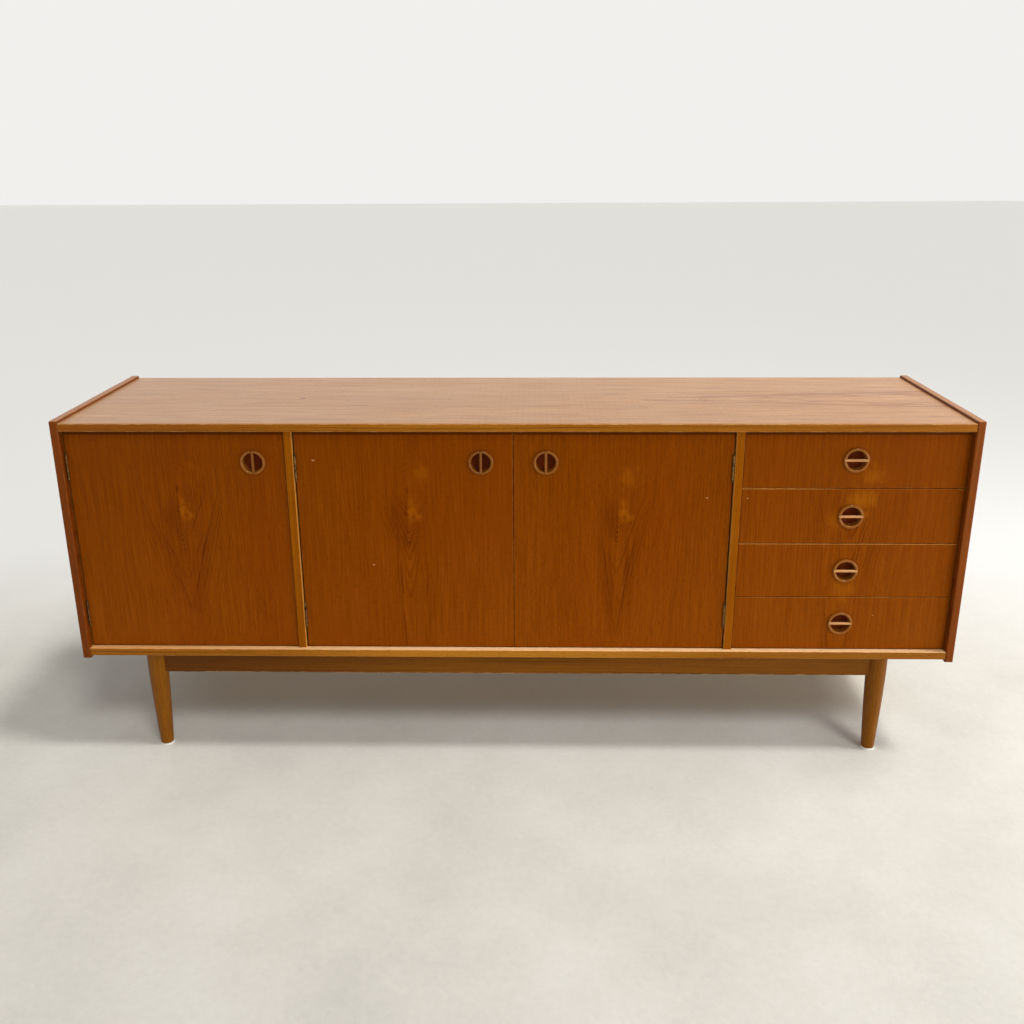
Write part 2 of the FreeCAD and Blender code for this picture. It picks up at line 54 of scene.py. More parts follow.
# ---- light: a sun's strength is its irradiance, and its angle is in degrees ----
OVERHEAD = {"strength": 1.1, "from": (0.42, -0.09, 1.0), "angle": 9.0}
FRONTAL = {"strength": 0.92, "from": (0.35, -0.6, 0.85), "angle": 16.0}
LAMPS = {
    "side_lamp": {"watts": 51.0, "size": (2.8, 1.2), "place": (3.6, -1.7, 0.60), "towards": (0.2, 0.0, 0.3)},
    "high_lamp": {"watts": 30.0, "size": (1.2, 1.2), "place": (2.2, 0.0, 2.6), "towards": (0.5, 0.0, 0.8)},
}
SUN_COLOUR = (1.0, 0.992, 0.975)
BACKDROP = (0.88, 0.87, 0.852)
CEILING = (0.17, 0.166, 0.16)
CEILING_FADE = (0.34, 0.62)     # the sine of the height at which walls end and the ceiling is full
FLOOR_HALF = 30.0

# ---- places read from the frame ----
DOOR_FACE_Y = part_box("door_left_panel")[0].y
DOOR_BACK_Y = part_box("door_left_panel")[1].y
PLINTH_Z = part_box("bottom_board")[1].z      # the floor inside the cabinet
CEILING_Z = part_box("top_board")[0].z
INSIDE_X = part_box("side_panel_right")[0].x

BOWL_REACH = 0.0205        # polygons of a pull nearer its middle than this are its bowl

# ---- hinge screws and strike plates ----
HINGE_GAP = 0.003
LEAF_THICK = 0.0012
HINGE_HEIGHTS = (0.351, 0.7015)
SCREW_STEPS = ((-0.020, -0.0025), (0.0, 0.0030), (0.020, -0.0025))   # along and across a leaf
SCREW_RADIUS = 0.0021
SCREW_SLOT = 0.0006
SCREW_RISE = 0.00018
SCREW_TAPER = 0.10
SCREW_ARC_STEPS = 14
SCREW_TURNS = (0.7, 1.9)    # how far the first slot is turned, and each one after it, in radians
STRIKE_HALF = (0.018, 0.0045)
STRIKE_CORNER = 0.0015
STRIKE_CORNER_STEPS = 4
STRIKE_TAPER = 0.02
STRIKE_THICK = 0.0003
STRIKE_FROM_EDGE = 0.045
STRIKE_DROP = 0.0065


def colour(hex_code):
    """Linear RGBA of an sRGB hex colour."""
    parts = [int(hex_code[i : i + 2], 16) / 255 for i in (1, 3, 5)]
    linear = [c / 12.92 if c <= 0.04045 else ((c + 0.055) / 1.055) ** 2.4 for c in parts]
    return (*linear, 1.0)


# ---- shader graphs ----
class Wire:
    """A value in a material's node graph, with ordinary arithmetic on it."""

    def __init__(self, graph, socket):
        self.graph = graph
        self.socket = socket

    def __add__(self, other):
        return self.graph.math("ADD", self, other)

    def __radd__(self, other):
        return self.graph.math("ADD", other, self)

    def __sub__(self, other):
        return self.graph.math("SUBTRACT", self, other)

    def __rsub__(self, other):
        return self.graph.math("SUBTRACT", other, self)

    def __mul__(self, other):
        return self.graph.math("MULTIPLY", self, other)

    def __rmul__(self, other):
        return self.graph.math("MULTIPLY", other, self)

    def __truediv__(self, other):
        return self.graph.math("DIVIDE", self, other)

    def __rtruediv__(self, other):
        return self.graph.math("DIVIDE", other, self)


class Graph:
    """A new material whose shader is put together one call at a time."""

    def __init__(self, name):
        self.material = bpy.data.materials.new(name)
        self.material.use_nodes = True
        self.tree = self.material.node_tree
        self.tree.nodes.clear()
        place = self.tree.nodes.new("ShaderNodeTexCoord")
        split = self.tree.nodes.new("ShaderNodeSeparateXYZ")
        self.tree.links.new(place.outputs["Object"], split.inputs[0])
        self.x, self.y, self.z = [Wire(self, output) for output in split.outputs]

    def feed(self, socket, value):
        if isinstance(value, Wire):
            self.tree.links.new(value.socket, socket)
        else:
            socket.default_value = value

    def math(self, operation, *values):
        node = self.tree.nodes.new("ShaderNodeMath")
        node.operation = operation
        for socket, value in zip(node.inputs, values):
            self.feed(socket, value)
        return Wire(self, node.outputs[0])

    def length(self, *values):
        """The length of a vector of two or three numbers."""
        total = values[0] * values[0]
        for value in values[1:]:
            total = total + value * value
        return self.math("SQRT", total)

    def smooth(self, value, low, high):
        """0 below low, 1 above high and a smooth step between them."""
        node = self.tree.nodes.new("ShaderNodeMapRange")
        node.interpolation_type = "SMOOTHSTEP"
        for key, given in (("Value", value), ("From Min", low), ("From Max", high)):
            self.feed(node.inputs[key], given)
        return Wire(self, node.outputs[0])

    def step(self, value, edge):
        """A sharp change from 0 to 1 at an edge."""
        return self.smooth(value, edge - 0.0002, edge + 0.0002)

    def noise(self, x, y, z, detail=1.0, roughness=0.5):
        """Cloudy noise from 0 to 1, one lump per unit of its three inputs."""
        joined = self.tree.nodes.new("ShaderNodeCombineXYZ")
        for socket, value in zip(joined.inputs, (x, y, z)):
            self.feed(socket, value)
        node = self.tree.nodes.new("ShaderNodeTexNoise")
        self.tree.links.new(joined.outputs[0], node.inputs["Vector"])
        node.inputs["Scale"].default_value = 1.0
        node.inputs["Detail"].default_value = detail
        node.inputs["Roughness"].default_value = roughness
        return Wire(self, node.outputs[0])

    def ramp(self, value, stops):
        """Colours along a value; stops are (position, hex colour) pairs."""
        node = self.tree.nodes.new("ShaderNodeValToRGB")
        while len(node.color_ramp.elements) < len(stops):
            node.color_ramp.elements.new(0.5)
        for element, (position, hex_code) in zip(node.color_ramp.elements, stops):
            element.position = position
            element.color = colour(hex_code)
        self.feed(node.inputs[0], value)
        return Wire(self, node.outputs[0])

    def mix(self, factor, first, second):
        """From the first colour to the second; a hex code stands for an even colour."""
        node = self.tree.nodes.new("ShaderNodeMix")
        node.data_type = "RGBA"
        for socket, value in ((node.inputs[0], factor), (node.inputs[6], first), (node.inputs[7], second)):
            self.feed(socket, colour(value) if isinstance(value, str) else value)
        return Wire(self, node.outputs[2])

    def finish(self, base, roughness, height=None, relief=0.0, **even):
        """The shader: base colour, roughness and relief vary, and the rest is even all over."""
        shader = self.tree.nodes.new("ShaderNodeBsdfPrincipled")
        for key, value in even.items():
            shader.inputs[key.replace("_", " ")].default_value = value
        self.feed(shader.inputs["Base Color"], base)
        self.feed(shader.inputs["Roughness"], roughness)
        if height is not None:
            bump = self.tree.nodes.new("ShaderNodeBump")
            bump.inputs["Distance"].default_value = relief
            self.feed(bump.inputs["Height"], height)
            self.tree.links.new(bump.outputs[0], shader.inputs["Normal"])
        output = self.tree.nodes.new("ShaderNodeOutputMaterial")
        self.tree.links.new(shader.outputs[0], output.inputs[0])
        return self.material


# ---- wood ----
# For a grain along each axis: the axes along it, across it and into it.
AXES = {"x": ("x", "y", "z"), "y": ("y", "x", "z"), "z": ("z", "x", "y")}

# A look holds the colours; the spacing of the rings in metres and how ragged they are; how strongly rings,
# streaks, broad bands and pores show; and the surface, where sheen is the specular tint.
TEAK = {
    "deep": "#571e00", "mid": "#7a3800", "pale": "#944c08", "pore": "#3a1300", "worn": "#b0722f",
    "ring": 0.0056, "fray": 0.6, "rings": 0.30, "streaks": 0.85, "bands": 0.16, "pores": 0.4,
    "rough": 0.40, "wear": 0.4, "relief": 0.00010, "gloss": 0.22, "sheen": (1.0, 0.45, 0.06),
    "coat": 0.0, "coat_rough": 0.3,
}
DIVIDER = dict(TEAK, deep="#6b3000", mid="#8c4b02", pale="#a96410", ring=0.004, rings=0.4, streaks=0.5)
# The top's colours are paler than the fronts' teak; part of that paleness is painted light, standing in for
# the sheen and the light from above on the top.
TOP = dict(
    TEAK, deep="#94561e", mid="#b98350", pale="#cf9c68", pore="#77441e", worn="#e0b488",
    rings=0.5, streaks=1.25, bands=0.3, gloss=0.5, sheen=(1.0, 1.0, 1.0),
    coat=0.25, coat_rough=0.28, rough=0.36,
)
SOLID = dict(
    TEAK, deep="#6a3502", mid="#92560a", pale="#b37620", pore="#4a2404", worn="#e3b67a",
    ring=0.0042, rings=0.5, streaks=0.55, bands=0.6, gloss=0.28, sheen=(1.0, 0.6, 0.3), rough=0.38, wear=0.6,
)
EDGE = dict(
    SOLID, deep="#4f2002", mid="#743404", pale="#8f4d12", pore="#341402", rings=0.3, gloss=0.25, wear=0.5,
)
BASE = dict(SOLID, deep="#522802", mid="#774404", pale="#965e12", pore="#3c1c04", wear=0.4)
PULL = dict(
    SOLID, deep="#562a08", mid="#824a10", pale="#a66824", pore="#401a04", worn="#d09c60",
    ring=0.003, rings=0.35, gloss=0.32, coat=0.18, coat_rough=0.14, rough=0.30,
)
# The bowl is darker than the lip partly as its own darker finish and partly as painted shade in the hollow.
BOWL = dict(
    PULL, deep="#320a02", mid="#5a1c04", pale="#7c330c", pore="#180402", gloss=0.12, coat=0.0, rough=0.5,
)
UPRIGHT_BAR = dict(PULL, deep="#54280a", mid="#804a16", pale="#a2682c", coat=0.15)
# Painted light: a level bar on a drawer is a paler copy of the pull wood, as lit from above.
LIT_LEVEL_BAR = dict(PULL, deep="#98602e", mid="#c08850", pale="#d8a468", coat=0.5)
BEECH = dict(
    TEAK, deep="#a8774a", mid="#c89a68", pale="#dcb384", pore="#8d6238", worn="#e6cba2",
    ring=0.006, rings=0.18, streaks=0.3, bands=0.25, sheen=(1.0, 0.9, 0.8), gloss=0.3, rough=0.55, pores=0.2,
)
PLY = dict(BEECH, deep="#b08a5c", mid="#cda878", pale="#dfc094", pore="#8d6a40", ring=0.02, rings=0.25)
BACK = dict(
    BEECH, deep="#7c5330", mid="#9c6f45", pale="#b58a5c", pore="#5e3c20", ring=0.022, rings=0.3, rough=0.62,
)
PLAIN_TONE = 0.55          # where no ring, streak or band changes it
FINE_SHARE = 1.1           # the two kinds of streak, as shares of a look's streaks
STREAK_SHARE = 0.2
# Painted shade: the fronts' veneer is darker towards the top and lighter towards the bottom, standing in for
# how light falls on them.
VENEER_PAINTED_SHADE = 0.42         # how much darker the fronts are towards the top, in tone per metre
VENEER_PAINTED_SHADE_FROM = 0.52    # the height that keeps its tone
TOP_WEDGES = ((0.15, 0.29), (0.235, 0.29), (0.34, 0.42), (0.45, 0.53), (0.57, 0.62))   # apex and start, in x
TOP_WEDGE_SLOPE = 0.095
INNER_SHADES = [(0.0, "#7a4a1c"), (0.5, "#99652f"), (1.0, "#b37f48")]
GLOW_SHADES = [(0.2, "#8c4800"), (0.8, "#b26408")]
# The painted highlight of the shelf strip: its colour at the left end, and from the middle on.
SHELF_HIGHLIGHT_SHADES = ("#dea468", "#ffd09a")


def edge_distance(graph, low, high):
    """How far a point on a box's face is from that face's nearest edge."""
    gaps = []
    for value, a, b in zip((graph.x, graph.y, graph.z), low, high):
        gaps.append(graph.math("MINIMUM", value - a, b - value))
    widest = graph.math("MAXIMUM", graph.math("MAXIMUM", gaps[0], gaps[1]), gaps[2])
    return gaps[0] + gaps[1] + gaps[2] - widest


def log_rings(graph, along, across, depth, pith, wander, seed):
    """Distance from the heart of the tree, which wanders along a solid board."""
    slow = along * 1.3 + seed
    drift = graph.noise(slow, across * 4, depth * 4, 1.0) - 0.5
    lift = graph.noise(slow + 7.3, across * 4, depth * 4, 1.0) - 0.5
    return graph.length(across - pith[0] + drift * wander, depth - pith[1] + lift * wander)


def crown_rings(graph, side, rise, near, far):
    """The crown figure of a flat-cut leaf: drops round a heart, and straight lines at the sides."""
    below = graph.math("MAXIMUM", 0.0 - rise, 0.0)
    above = graph.math("MAXIMUM", rise, 0.0)
    drop = below / (below + near[1]) * near[0] + below * far
    middle = 1.0 / (1.0 + side * side * 90.0)
    lift = above * middle * 0.42
    return graph.math("SQRT", side * side + lift * lift + 0.00010) + middle * drop


def grain(graph, rings, along, across, depth, look, seed, figure=None):
    """Tone from 0 to 1, the fine streaks and the pores of a wood surface."""
    fine = graph.noise(across * 300 + seed, depth * 300, along * 7, 3.0, 0.65)
    streak = graph.noise(across * 120, depth * 120 + seed, along * 0.9, 3.0, 0.6)
    broad = graph.noise(across * 12, depth * 12 + seed, along * 0.8, 1.0)
    count = rings / look["ring"] + (streak - 0.5) * look["fray"]
    tooth = graph.math("FRACT", count)
    late = graph.smooth(tooth, 0.30, 0.86) * (1.0 - graph.smooth(tooth, 0.88, 1.0))
    year = graph.noise((count - tooth) * 3.7, seed * 1.7, along * 0.8, 0.0)
    patches = graph.smooth(graph.noise(across * 26, depth * 26, along * 7, 1.0), 0.28, 0.62)
    strength = graph.smooth(year, 0.30, 0.68) * patches
    if figure is not None:
        strength = strength * figure
    lines = (fine - 0.5) * FINE_SHARE + (streak - 0.5) * STREAK_SHARE
    tone = PLAIN_TONE - late * strength * look["rings"]
    tone = tone + lines * look["streaks"] + (broad - 0.5) * look["bands"]
    pores = graph.smooth(graph.noise(across * 1500, depth * 1500 + seed, along * 75, 0.0), 0.62, 0.74)
    return tone, fine, pores


def region(graph, conditions):
    """1 where every (axis, edge, side) holds: beyond the edge on the side that +1 or -1 says."""
    mask = None
    for axis, edge, side in conditions:
        step = graph.step(getattr(graph, axis), edge)
        step = step if side > 0 else 1.0 - step
        mask = step if mask is None else mask * step
    return mask


def dress(graph, tone, fine, pores, look, box=None, tint=None, inner=None):
    """The shader over a grain. A box gives wear along its edges; inner says which faces are unpolished."""
    shades = graph.ramp(tone, [(0.0, look["deep"]), (0.5, look["mid"]), (1.0, look["pale"])])
    if inner is not None:
        shades = graph.mix(region(graph, inner), shades, graph.ramp(tone, INNER_SHADES))
    if tint is not None:
        shades = tint(graph, shades)
    shades = graph.mix(pores * look["pores"], shades, look["pore"])
    smudge = graph.noise(graph.x * 7, graph.y * 7, graph.z * 7, 2.0)
    roughness = look["rough"] + (fine - 0.5) * 0.16 + (smudge - 0.5) * 0.12 + pores * 0.1
    if inner is not None:
        roughness = roughness + region(graph, inner) * 0.14
    if box is not None:
        edge = edge_distance(graph, *box)
        chips = graph.smooth(graph.noise(graph.x * 45, graph.y * 45, graph.z * 45, 3.0, 0.6), 0.42, 0.68)
        rubbed = (1.0 - graph.smooth(edge, 0.0004, 0.0022)) * chips
        shades = graph.mix(rubbed * look["wear"], shades, look["worn"])
        roughness = roughness + rubbed * 0.12
    height = fine * 0.35 - pores
    return graph.finish(
        shades,
        roughness,
        height,
        look["relief"],
        Specular_IOR_Level=look["gloss"],
        Specular_Tint=(*look["sheen"], 1.0),
        Coat_Weight=look["coat"],
        Coat_Roughness=look["coat_rough"],
    )


def solid_wood(name, along, look, pith=(0.04, 0.11), wander=0.05, seed=0.0, **dressing):
    """Wood whose rings run through the whole piece, so its sides and its end grain agree."""
    graph = Graph(name)
    run, across, depth = [getattr(graph, axis) for axis in AXES[along]]
    rings = log_rings(graph, run, across, depth, pith, wander, seed)
    tone, fine, pores = grain(graph, rings, run, across, depth, look, seed)
    return dress(graph, tone, fine, pores, look, **dressing)


def flame(graph, side, rise):
    """The golden flame that starts at a sharp line beside the heart, with a faint one above it."""
    lick = graph.noise(side * 60, rise * 34, 2.0, 3.0, 0.65)
    body = 1.0 - graph.smooth(graph.length(side * 1.7 - 0.012, rise + 0.034), 0.008, 0.038)
    foot = 1.0 - graph.smooth(graph.length(side - 0.020, (rise + 0.050) * 1.3), 0.002, 0.020)
    crest = 1.0 - graph.smooth(graph.length(side - 0.032, (rise - 0.048) * 0.8), 0.004, 0.034)
    sharp = graph.smooth(side, -0.0012, 0.0012)
    lower = (body * 0.66 + foot * 0.55) * sharp * graph.smooth(lick, 0.30, 0.62)
    return lower + crest * 0.3 * graph.smooth(lick, 0.35, 0.65)


def tail_lines(graph, tone, leaf, seed, swung, rise):
    """Long V lines under the heart, each (shift, apex height, slope), with a shade outside them."""
    run = graph.z
    for shift, apex, slope in leaf["tails"]:
        off = swung - shift
        gap = graph.math("ABSOLUTE", off) - (run - apex) * slope
        stroke = 1.0 - graph.smooth(graph.math("ABSOLUTE", gap + 0.0008), 0.0003, 0.0026)
        reach = graph.smooth(run, apex - 0.004, apex + 0.02) * (1.0 - graph.smooth(rise, -0.16, -0.03))
        broken = graph.smooth(graph.noise(run * 16, off * 40, seed, 2.0), 0.34, 0.60)
        outside = graph.smooth(gap, -0.002, 0.004) * (1.0 - graph.smooth(gap, 0.004, 0.03))
        tone = tone - stroke * reach * broken * 0.42 - outside * reach * 0.10
    return tone


def chevron_lines(graph, tone, leaf, seed, swung):
    """Short nested V lines between two heights under the heart."""
    run = graph.z
    low, high, slope = leaf["chevrons"]
    apex = run - graph.math("SQRT", swung * swung + 0.00002) * slope
    turn = graph.math("FRACT", apex * 88 + (graph.noise(swung * 60, run * 30, seed, 2.0) - 0.5) * 0.9)
    fold = graph.smooth(turn, 0.30, 0.85) * (1.0 - graph.smooth(turn, 0.88, 1.0))
    fold = fold * graph.smooth(apex, low, low + 0.02) * (1.0 - graph.smooth(apex, high - 0.04, high))
    fold = fold * (1.0 - graph.smooth(graph.math("ABSOLUTE", swung), 0.025, 0.062))
    patches = graph.smooth(graph.noise(swung * 35, run * 12, seed + 3.0, 1.0), 0.30, 0.62)
    return tone - fold * patches * 0.30


def veneer_leaf(name, leaf, seed, box, marks=None, inner=None):
    """Veneer of a door or drawer front: a heart with its flame, and the V lines under it."""
    graph = Graph(name)
    across, depth, run = graph.x, graph.y, graph.z
    sway = (graph.noise(run * 3.4, across * 5, seed, 2.0) - 0.5) * 0.014
    side = across - leaf["heart"][0]
    swung = side + sway
    rise = run - leaf["heart"][1]
    crown = graph.length(swung, (rise + 0.05) * 0.55)
    figure = 0.35 + 0.9 * (1.0 - graph.smooth(crown, 0.035, 0.13))
    figure = figure * (1.0 - graph.smooth(rise, 0.0, 0.05) * 0.6)
    figure = figure * graph.smooth(graph.length(swung, rise - 0.008), 0.014, 0.034)
    rings = crown_rings(graph, swung, rise, leaf["near"], leaf["far"])
    tone, fine, pores = grain(graph, rings, run, across, depth, TEAK, seed, figure)

    near_heart = 1.0 - graph.smooth(graph.length(side * 1.3, rise + 0.06), 0.02, 0.075)
    tone = tone - (1.0 - graph.step(side, 0.0)) * near_heart * 0.16
    tone = tail_lines(graph, tone, leaf, seed, swung, rise)
    tone = chevron_lines(graph, tone, leaf, seed, swung)
    # Painted shade: the front is darker towards the top and lighter towards the bottom.
    tone = tone + (VENEER_PAINTED_SHADE_FROM - run) * VENEER_PAINTED_SHADE
    red = graph.smooth(graph.noise(across * 5, seed, run * 1.6, 2.0), 0.40, 0.72)

    def tint(graph, shades):
        shades = graph.mix(red * 0.30, shades, "#7a2f00")
        glow = flame(graph, swung, rise)
        shades = graph.mix(glow * 0.8, shades, graph.ramp(fine, GLOW_SHADES))
        # Painted shadow: a dark band at the top of each front, under the overhang of the top board.
        painted_shadow_under_top = graph.smooth(graph.z, CEILING_Z - 0.0120, CEILING_Z - 0.0080)
        shades = graph.mix(painted_shadow_under_top * 0.75, shades, "#300a00")
        lick = graph.noise(swung * 95, rise * 30, 5.0, 3.0, 0.65)
        for x, z, width, height, amount in leaf["glints"]:
            reach = graph.length((swung - x) / width, (rise - z) / height) + (lick - 0.5) * 1.6
            patch = 1.0 - graph.smooth(reach, 0.15, 1.0)
            shades = graph.mix(patch * amount, shades, graph.ramp(fine, GLOW_SHADES))
        knot = graph.length(swung * 2.6, rise - 0.013) + (fine - 0.5) * 0.004
        eye = 1.0 - graph.smooth(knot, 0.003, 0.012)
        shades = graph.mix(eye * leaf["eye"], shades, "#471500")
        return shades if marks is None else marks(graph, shades, fine)

    return dress(graph, tone, fine, pores, TEAK, box, tint, inner)


def top_veneer(name, box):
    """The top's veneer: plain at the left, with a crown figure that opens to the right."""
    graph = Graph(name)
    run, across, depth = graph.x, graph.y, graph.z
    sway = (graph.noise(run * 2.4, across * 5, 4.0, 2.0) - 0.5) * 0.020
    side = across + sway + 0.004
    rings = crown_rings(graph, side, run - 1.08, (0.02, 0.10), 0.085)
    beside = graph.math("ABSOLUTE", side)
    figure = 0.08 + 0.6 * graph.smooth(run, 0.05, 0.60) * (1.0 - graph.smooth(beside, 0.05, 0.14))
    tone, fine, pores = grain(graph, rings, run, across, depth, TOP, 2.0, figure)
    for apex, start in TOP_WEDGES:
        gap = beside - (run - apex) * TOP_WEDGE_SLOPE
        stroke = 1.0 - graph.smooth(graph.math("ABSOLUTE", gap), 0.0012, 0.0034)
        broken = graph.smooth(graph.noise(run * 7, side * 45, apex * 30, 2.0), 0.40, 0.54)
        tone = tone - stroke * broken * graph.smooth(run, start, start + 0.02) * 0.62
    dash = graph.noise(run * 6, across * 105, 5.0, 2.0)
    tone = tone + (dash - 0.5) * 1.1

    def tint(graph, shades):
        pin = graph.length((graph.x + 0.502) * 0.9 - (graph.y - 0.002) * 0.5, (graph.y - 0.002) * 0.45)
        return graph.mix((1.0 - graph.smooth(pin, 0.0015, 0.0055)) * 0.9, shades, "#4e2408")

    return dress(graph, tone, fine, pores, TOP, box, tint, [("z", CEILING_Z + 0.0002, -1)])


# ---- metal and plastic ----
def metal(name, look):
    graph = Graph(name)
    cloud = graph.noise(graph.x * 160, graph.y * 160, graph.z * 160, 4.0, 0.6)
    brush = graph.noise(graph.x * 2200, graph.y * 2200, graph.z * 260, 1.0)
    tarnish = graph.smooth(cloud, 0.38, 0.72)
    shades = graph.ramp(tarnish, [(0.0, look["clean"]), (1.0, look["dull"])])
    roughness = look["rough"] + tarnish * 0.22 + (brush - 0.5) * 0.15
    return graph.finish(shades, roughness, brush, 0.00003, Metallic=1.0)


def plastic(name, look):
    graph = Graph(name)
    cloud = graph.noise(graph.x * 220, graph.y * 220, graph.z * 220, 3.0)
    scuff = graph.smooth(graph.noise(graph.x * 90, graph.y * 90, graph.z * 300, 3.0, 0.7), 0.5, 0.72)
    shades = graph.ramp(cloud, [(0.3, look["clean"]), (0.7, look["aged"])])
    shades = graph.mix(scuff * 0.5, shades, look["scuff"])
    return graph.finish(shades, 0.42 + scuff * 0.25, cloud, 0.00004, Specular_IOR_Level=0.4)


# ---- painting the nodes ----
# For each leaf: its heart (x, z); how far its rings drop under the heart, near it and further down; the
# heights and slope of its chevrons; its tails (shift, apex height, slope); its knocks (x, z, size); how dark
# the eye in its heart is; and its golden patches (x and z from the heart, width, height, amount).
LEAVES = {
    "door_left": {
        "heart": (-0.742, 0.640), "near": (0.052, 0.10), "far": 0.15, "chevrons": (0.425, 0.56, 2.3),
        "tails": ((0.002, 0.430, 0.40), (0.004, 0.352, 0.26)), "nicks": (), "eye": 0.6, "glints": (),
    },
    "door_middle_left": {
        "heart": (-0.235, 0.637), "near": (0.060, 0.09), "far": 0.05, "chevrons": (0.495, 0.585, 1.6),
        "tails": ((0.010, -0.160, 0.050), (0.004, 0.500, 0.50)),
        "nicks": ((-0.437, 0.718, 0.0035), (-0.315, 0.472, 0.003)),
        "eye": 0.4, "glints": ((0.034, 0.050, 0.024, 0.024, 0.26),),
    },
    "door_middle_right": {
        "heart": (0.231, 0.636), "near": (0.034, 0.06), "far": 0.14, "chevrons": (0.505, 0.590, 1.9),
        "tails": ((0.002, 0.292, 0.152), (0.004, 0.350, 0.15)), "nicks": ((0.424, 0.633, 0.003),),
        "eye": 0.0, "glints": ((0.014, 0.042, 0.028, 0.034, 0.28),),
    },
    "drawers": {
        "heart": (0.745, 0.644), "near": (0.040, 0.07), "far": 0.09, "chevrons": (0.535, 0.600, 1.7),
        "tails": ((-0.010, 0.120, 0.128),), "nicks": ((0.512, 0.632, 0.0025), (0.812, 0.352, 0.002)),
        "eye": 0.0,
        "glints": (
            (0.023, -0.013, 0.040, 0.034, 0.50), (-0.004, -0.022, 0.030, 0.034, 0.42),
            (-0.035, -0.068, 0.028, 0.038, 0.38), (0.034, 0.038, 0.036, 0.024, 0.30),
            (-0.003, -0.225, 0.034, 0.040, 0.38),
        ),
    },
}
# How strongly a drawer front's top edge is painted pale as a highlight from above, and whether it fades to
# the right.
LIT_RIMS = {"drawer_2": (0.95, True), "drawer_3": (0.75, False), "drawer_4": (0.2, False)}
DOOR_SEED_STEP = 3.7
DRAWER_SEED = 11.9


def put_on(node, *materials):
    """Gives a node or piece its finish."""
    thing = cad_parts[node] if isinstance(node, str) else node
    thing.data.materials.clear()
    for material in materials:
        thing.data.materials.append(material)


def paint_wood(node, along, look, **extra):
    put_on(node, solid_wood(node, along, look, box=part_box(node), **extra))


def scars(nicks):
    """Small pale knocks at (x, z, size)."""
    def marks(graph, shades, fine):
        for x, z, size in nicks:
            spot = graph.length((graph.x - x) * 0.75, (graph.z - z) * 2.0) + (fine - 0.5) * size
            shades = graph.mix((1.0 - graph.smooth(spot, size * 0.35, size)) * 0.65, shades, "#d9a878")
        return shades

    return marks


def scars_and_lit_rim(nicks, top, amount, fade):
    """Knocks, and a painted highlight: a pale arris along a drawer front's top edge, as lit from above."""
    scar = scars(nicks)

    def marks(graph, shades, fine):
        shades = scar(graph, shades, fine)
        rim = graph.step(graph.z, top - 0.0011)
        if fade:
            rim = rim * (1.0 - graph.smooth(graph.x, 0.60, 0.74) * 0.85)
        patchy = 0.55 + 0.45 * graph.smooth(graph.noise(graph.x * 30, 1.0, 2.0, 2.0), 0.35, 0.6)
        return graph.mix(rim * patchy * amount, shades, "#da964a")

    return marks


def paint_fronts():
    behind = [("y", DOOR_BACK_Y - 0.001, 1)]
    for index, name in enumerate(DOORS):
        node = name + "_panel"
        leaf = LEAVES[name]
        marks = scars(leaf["nicks"])
        put_on(node, veneer_leaf(node, leaf, index * DOOR_SEED_STEP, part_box(node), marks, behind))
    leaf = LEAVES["drawers"]
    for name in DRAWERS:
        node = name + "_front"
        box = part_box(node)
        amount, fade = LIT_RIMS.get(name, (0.0, False))
        marks = scars_and_lit_rim(leaf["nicks"], box[1].z, amount, fade)
        put_on(node, veneer_leaf(node, leaf, DRAWER_SEED, box, marks, behind))


def painted_highlight_shelf(graph, shades):
    """Painted highlight: the strip of the cabinet's floor that shows in front of the doors is painted pale,
    as lit from above, and darker to the left as painted shade.
    """
    strip = region(graph, [("z", PLINTH_Z - 0.0004, 1), ("y", DOOR_FACE_Y, -1)])
    pale = graph.mix(graph.smooth(graph.x, -0.9, -0.1), *SHELF_HIGHLIGHT_SHADES)
    return graph.mix(strip * 0.95, shades, pale)


def lower_lip_painted_light(graph, shades):
    # Painted light and shade: the bottom lipping is painted lighter in the middle and darker towards its
    # right end, and its top face gets the shelf's painted highlight.
    middle = 1.0 - graph.smooth(graph.math("ABSOLUTE", graph.x + 0.06), 0.15, 0.55)
    shades = graph.mix(middle * 0.45, shades, "#c58428")
    shades = graph.mix(graph.smooth(graph.x, 0.35, 0.8) * 0.4, shades, "#6c3802")
    return painted_highlight_shelf(graph, shades)


def upper_lip_painted_light(graph, shades):
    # Painted shade: the top lipping is painted darker towards its left end. Painted light: its top face is
    # painted pale, as lit from above.
    shades = graph.mix((1.0 - graph.smooth(graph.x, -0.9, -0.2)) * 0.45, shades, "#6a2c00")
    return graph.mix(graph.step(graph.z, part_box("top_lipping")[1].z - 0.0006) * 0.8, shades, "#c08a58")


def painted_lit_top(height, amount):
    """A top face painted pale like the cabinet's top, as lit from above."""
    def tint(graph, shades):
        return graph.mix(graph.step(graph.z, height) * amount, shades, "#bb8458")

    return tint


def painted_arris_highlight(graph, shades):
    """Painted highlight: the arris of each divider lipping that faces the middle bay is painted pale, as
    light catches it.
    """
    middle_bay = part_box("divider_right")[0].x
    edge = 1.0 - graph.step(graph.math("ABSOLUTE", graph.x), middle_bay + 0.0011)
    return graph.mix(edge * 0.7, shades, "#cf8f42")


